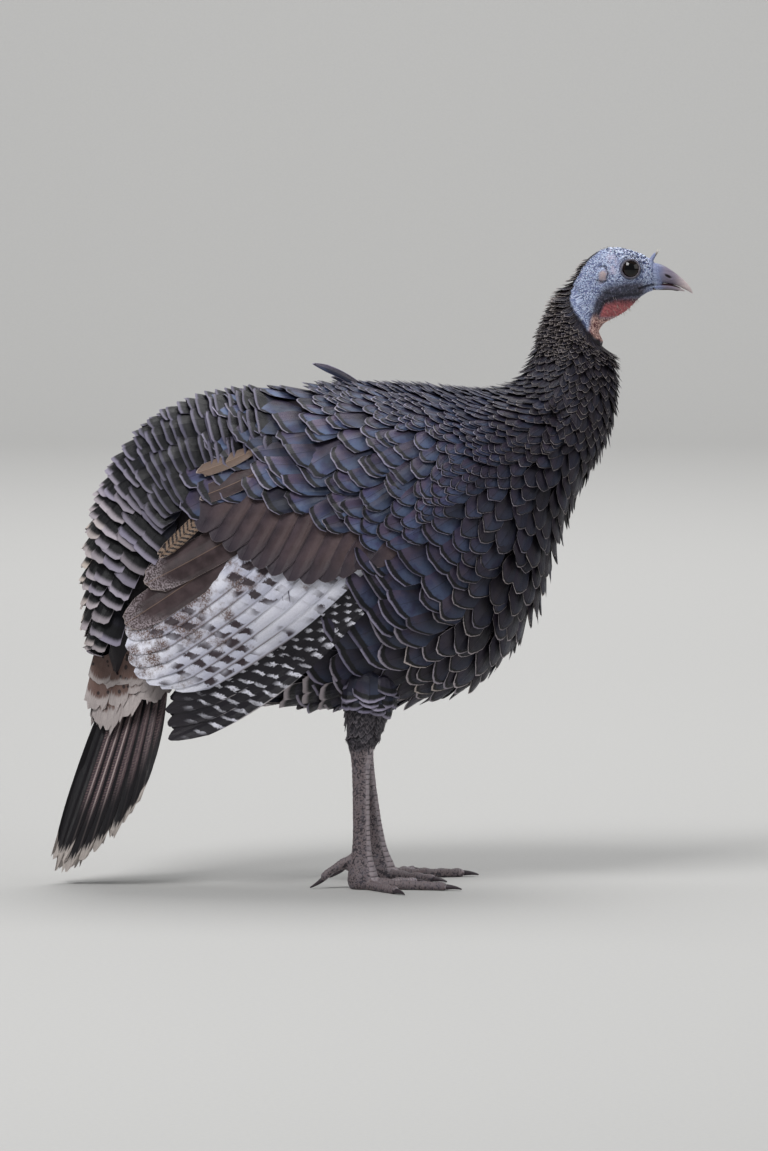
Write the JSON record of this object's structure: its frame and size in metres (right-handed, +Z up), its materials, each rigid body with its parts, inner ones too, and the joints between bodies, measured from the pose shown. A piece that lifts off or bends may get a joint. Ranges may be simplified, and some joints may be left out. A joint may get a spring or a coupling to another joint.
{
  "type": "wild turkey",
  "caption": "Life-size still model of a standing wild turkey hen with ruffled plumage, folded wings and a hanging tail.",
  "frame": {"origin": "on the floor under the middle of the bird's length, in its plane of symmetry", "axes": "+X towards the bill, +Y to the bird's left, +Z up"},
  "size_m": [0.5749, 0.2182, 0.5739],
  "materials": {
    "bare_skin": "pale blue-grey pebbled bare skin of the face, with a red-pink throat",
    "dark_feather": "bronze-black body feathers with pale fringes and a soft metallic sheen",
    "wing_feather": "brown wing coverts, pale mottled secondaries and black and white barred primaries",
    "tail_feather": "dark vermiculated tail feathers with buff-white tips",
    "covert_feather": "cinnamon barred tail coverts with buff-white tips",
    "thigh_feather": "short grey-brown feathers of the thigh",
    "leg_scale": "pinkish-grey scaled skin of the legs and toes",
    "bill_horn": "blue-grey to pinkish horn of the bill",
    "claw": "dark horn of the claws",
    "eye": "wet dark brown eye",
    "ear_patch": "beige-pink patch of bristly skin over the ear opening"
  },
  "bodies": {
    "root": {"head": "bare_skin", "neck": "dark_feather", "trunk": "dark_feather", "snood": "bare_skin", "bill_upper": "bill_horn", "bill_lower": "bill_horn", "eye_right": "eye", "eye_left": "eye", "ear_right": "ear_patch", "ear_left": "ear_patch", "wing_right": "wing_feather", "wing_left": "wing_feather", "tail": "tail_feather", "tail_coverts": "covert_feather", "thigh_right": "thigh_feather", "thigh_left": "thigh_feather", "leg_right": "leg_scale", "leg_left": "leg_scale", "toe_right_inner": "leg_scale", "claw_right_inner": "claw", "toe_right_middle": "leg_scale", "claw_right_middle": "claw", "toe_right_outer": "leg_scale", "claw_right_outer": "claw", "toe_right_hind": "leg_scale", "claw_right_hind": "claw", "toe_left_inner": "leg_scale", "claw_left_inner": "claw", "toe_left_middle": "leg_scale", "claw_left_middle": "claw", "toe_left_outer": "leg_scale", "claw_left_outer": "claw", "toe_left_hind": "leg_scale", "claw_left_hind": "claw"}
  },
  "joints": []
}
